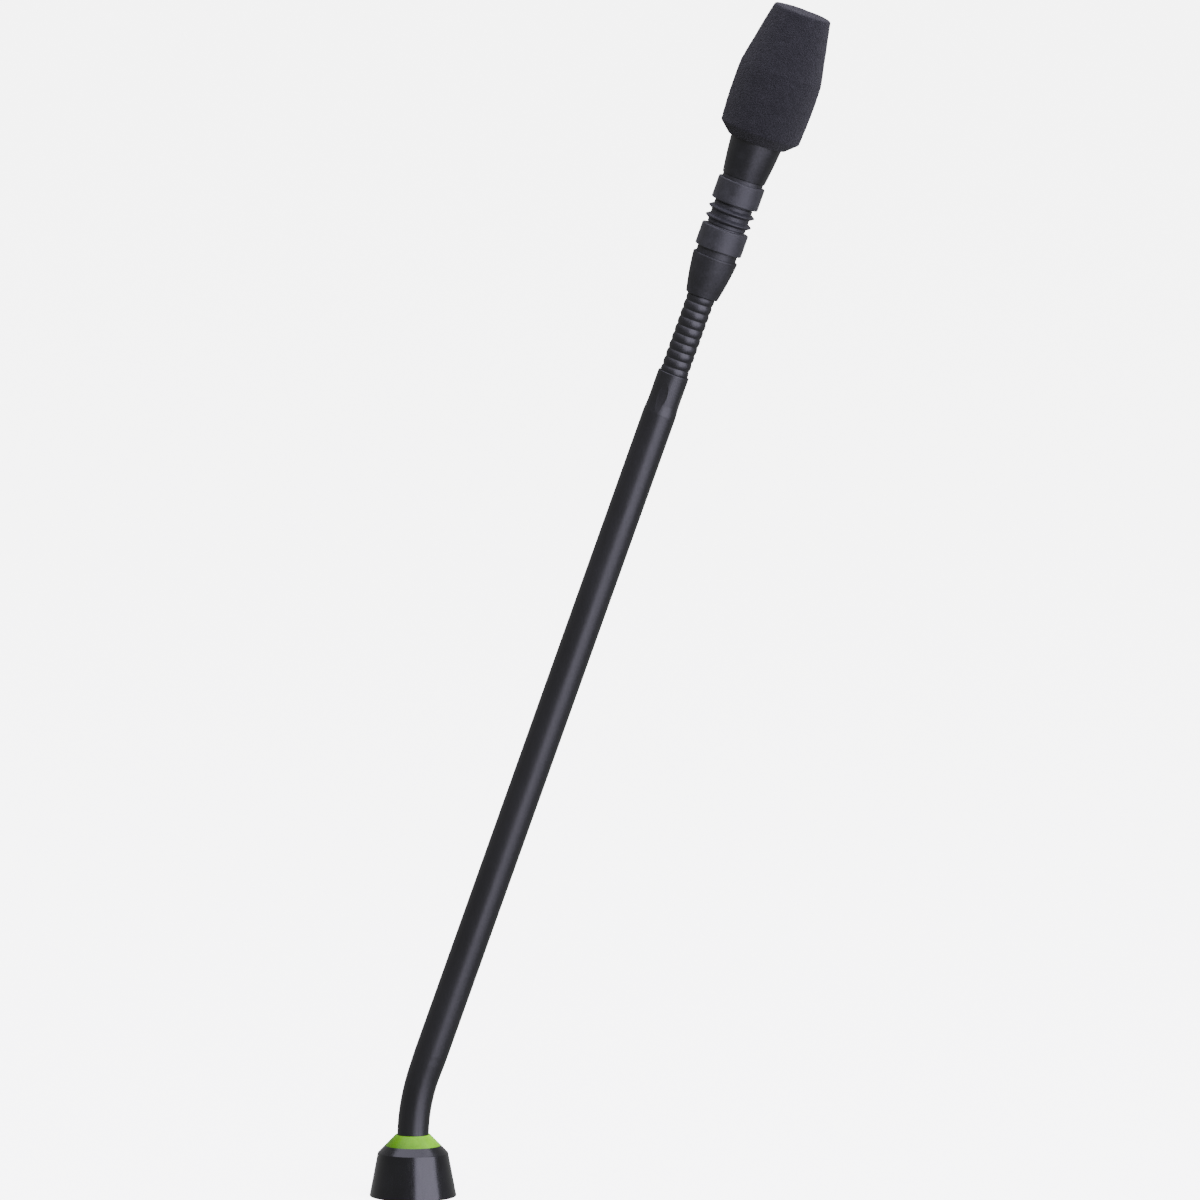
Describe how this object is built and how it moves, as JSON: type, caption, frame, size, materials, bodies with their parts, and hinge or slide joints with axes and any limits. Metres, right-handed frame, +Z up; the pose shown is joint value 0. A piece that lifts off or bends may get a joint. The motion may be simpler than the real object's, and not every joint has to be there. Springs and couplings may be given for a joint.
{
  "type": "gooseneck podium microphone",
  "caption": "Slim podium microphone on a bendable gooseneck, with a cone-shaped plug-in base, glowing status ring, rubber isolation bush and foam windscreen.",
  "frame": {"origin": "centre of the cone base's bottom rim, at the mouth of the recessed plug", "axes": "+Z up along the plug and base; the stem leans toward +X; +Y points away from the viewer, and the part is symmetric about the XZ plane except for small details"},
  "size_m": [0.1404, 0.0266, 0.3668],
  "materials": {
    "cone_gloss": "gloss",
    "ring_green": "translucent, lit from inside",
    "board": "satin",
    "lamp": "gloss",
    "plated_metal": "satin",
    "insert_plastic": "matte",
    "gold_contact": "polished",
    "steel": "satin",
    "sleeve_satin": "satin",
    "stem_satin": "satin",
    "flex_black": "satin",
    "wire_jacket": "matte",
    "ferrule_black": "matte anodised",
    "rubber_dark": "matte",
    "cartridge_black": "satin anodised",
    "bright_metal": "satin",
    "film": "gloss",
    "cloth": "matte",
    "foam": "matte open-cell foam"
  },
  "bodies": {
    "base": {"base_cone": "cone_gloss", "light_ring": "ring_green", "light_board": "board", "lamps": "lamp", "plug_shell": "plated_metal", "plug_insert": "insert_plastic", "contact_pins": "gold_contact", "plug_nut": "plated_metal", "lower_foot": "steel", "foot_screws": "steel", "lower_sleeve": "sleeve_satin"},
    "lower_link_1": {"lower_link_1": "steel"},
    "lower_link_2": {"lower_link_2": "steel"},
    "lower_link_3": {"lower_link_3": "steel"},
    "lower_link_4": {"lower_link_4": "steel"},
    "lower_link_5": {"lower_link_5": "steel"},
    "lower_link_6": {"lower_link_6": "steel"},
    "lower_link_7": {"lower_link_7": "steel"},
    "stem": {"stem_tube": "stem_satin", "lower_stem_fitting": "steel", "upper_stem_fitting": "steel", "wire": "wire_jacket"},
    "upper_link_1": {"upper_link_1": "flex_black"},
    "upper_link_2": {"upper_link_2": "flex_black"},
    "upper_link_3": {"upper_link_3": "flex_black"},
    "upper_link_4": {"upper_link_4": "flex_black"},
    "upper_link_5": {"upper_link_5": "flex_black"},
    "upper_link_6": {"upper_link_6": "flex_black"},
    "upper_link_7": {"upper_link_7": "flex_black"},
    "upper_link_8": {"upper_link_8": "flex_black"},
    "upper_link_9": {"upper_link_9": "flex_black"},
    "neck": {"upper_flex_socket": "steel", "taper_ferrule": "ferrule_black", "lower_collar": "rubber_dark", "lower_web": "rubber_dark"},
    "bush": {"isolation_bush": "rubber_dark"},
    "head": {"upper_web": "rubber_dark", "upper_collar": "rubber_dark", "head_insert": "ferrule_black", "cartridge_body": "cartridge_black", "preamp_board": "board", "preamp_parts": "insert_plastic", "capsule_leads": "gold_contact", "capsule_can": "bright_metal", "backplate": "bright_metal", "diaphragm": "film", "capsule_gasket": "rubber_dark", "front_grille": "cartridge_black", "grille_cloth": "cloth"},
    "windscreen": {"windscreen": "foam"}
  },
  "joints": [
    {"name": "lower_bend_1", "type": "hinge", "parent": "base", "child": "lower_link_1", "pos_m": [0, 0, 0.02016], "axis": [0.0868, 0.9962, -0.0074], "range_deg": [-16.88, 7.12], "deforming": ["lower_sleeve", "wire"]},
    {"name": "lower_swing_1", "type": "hinge", "parent": "lower_link_1", "child": "lower_link_2", "pos_m": [0.00023, 0, 0.02281], "axis": [0.9926, -0.0872, -0.0847], "range_deg": [-12, 12]},
    {"name": "lower_bend_2", "type": "hinge", "parent": "lower_link_2", "child": "lower_link_3", "pos_m": [0.00045, 0, 0.02546], "axis": [0.0859, 0.9962, -0.0148], "range_deg": [-16.88, 7.12]},
    {"name": "lower_swing_2", "type": "hinge", "parent": "lower_link_3", "child": "lower_link_4", "pos_m": [0.0009, 0, 0.02808], "axis": [0.9818, -0.0872, -0.1687], "range_deg": [-12, 12]},
    {"name": "lower_bend_3", "type": "hinge", "parent": "lower_link_4", "child": "lower_link_5", "pos_m": [0.00135, 0, 0.0307], "axis": [0.0843, 0.9962, -0.022], "range_deg": [-16.88, 7.12]},
    {"name": "lower_swing_3", "type": "hinge", "parent": "lower_link_5", "child": "lower_link_6", "pos_m": [0.00202, 0, 0.03328], "axis": [0.9639, -0.0872, -0.2515], "range_deg": [-12, 12]},
    {"name": "lower_bend_4", "type": "hinge", "parent": "lower_link_6", "child": "lower_link_7", "pos_m": [0.0027, 0, 0.03585], "axis": [0.0822, 0.9962, -0.0291], "range_deg": [-16.88, 7.12]},
    {"name": "lower_swing_4", "type": "hinge", "parent": "lower_link_7", "child": "stem", "pos_m": [0.00358, 0, 0.03836], "axis": [0.9391, -0.0872, -0.3325], "range_deg": [-12, 12]},
    {"name": "upper_bend_1", "type": "hinge", "parent": "stem", "child": "upper_link_1", "pos_m": [0.08033, 0, 0.25507], "axis": [0.0822, 0.9962, -0.0291], "range_deg": [-12, 12]},
    {"name": "upper_swing_1", "type": "hinge", "parent": "upper_link_1", "child": "upper_link_2", "pos_m": [0.0812, 0, 0.25755], "axis": [0.9391, -0.0872, -0.3325], "range_deg": [-12, 12]},
    {"name": "upper_bend_2", "type": "hinge", "parent": "upper_link_2", "child": "upper_link_3", "pos_m": [0.08208, 0, 0.26003], "axis": [0.0822, 0.9962, -0.0291], "range_deg": [-12, 12]},
    {"name": "upper_swing_2", "type": "hinge", "parent": "upper_link_3", "child": "upper_link_4", "pos_m": [0.08296, 0, 0.26251], "axis": [0.9391, -0.0872, -0.3325], "range_deg": [-12, 12]},
    {"name": "upper_bend_3", "type": "hinge", "parent": "upper_link_4", "child": "upper_link_5", "pos_m": [0.08384, 0, 0.26499], "axis": [0.0822, 0.9962, -0.0291], "range_deg": [-12, 12]},
    {"name": "upper_swing_3", "type": "hinge", "parent": "upper_link_5", "child": "upper_link_6", "pos_m": [0.08472, 0, 0.26747], "axis": [0.9391, -0.0872, -0.3325], "range_deg": [-12, 12]},
    {"name": "upper_bend_4", "type": "hinge", "parent": "upper_link_6", "child": "upper_link_7", "pos_m": [0.08559, 0, 0.26995], "axis": [0.0822, 0.9962, -0.0291], "range_deg": [-12, 12]},
    {"name": "upper_swing_4", "type": "hinge", "parent": "upper_link_7", "child": "upper_link_8", "pos_m": [0.08647, 0, 0.27243], "axis": [0.9391, -0.0872, -0.3325], "range_deg": [-12, 12]},
    {"name": "upper_bend_5", "type": "hinge", "parent": "upper_link_8", "child": "upper_link_9", "pos_m": [0.08735, 0, 0.27491], "axis": [0.0822, 0.9962, -0.0291], "range_deg": [-12, 12]},
    {"name": "upper_swing_5", "type": "hinge", "parent": "upper_link_9", "child": "neck", "pos_m": [0.08823, 0, 0.27738], "axis": [0.9391, -0.0872, -0.3325], "range_deg": [-12, 12]},
    {"name": "bush_nod", "type": "hinge", "parent": "neck", "child": "bush", "pos_m": [0.09554, 0, 0.29803], "axis": [0.0822, 0.9962, -0.0291], "range_deg": [-3, 3], "stiffness_Nm_per_rad": 0.8, "deforming": ["lower_web"]},
    {"name": "bush_roll", "type": "hinge", "parent": "bush", "child": "head", "pos_m": [0.09801, 0, 0.305], "axis": [0.9391, -0.0872, -0.3325], "range_deg": [-3, 3], "stiffness_Nm_per_rad": 0.8, "deforming": ["upper_web"]},
    {"name": "windscreen_pull", "type": "slide", "parent": "head", "child": "windscreen", "axis": [0.3338, 0, 0.9426], "range_m": [0, 0.04]}
  ]
}
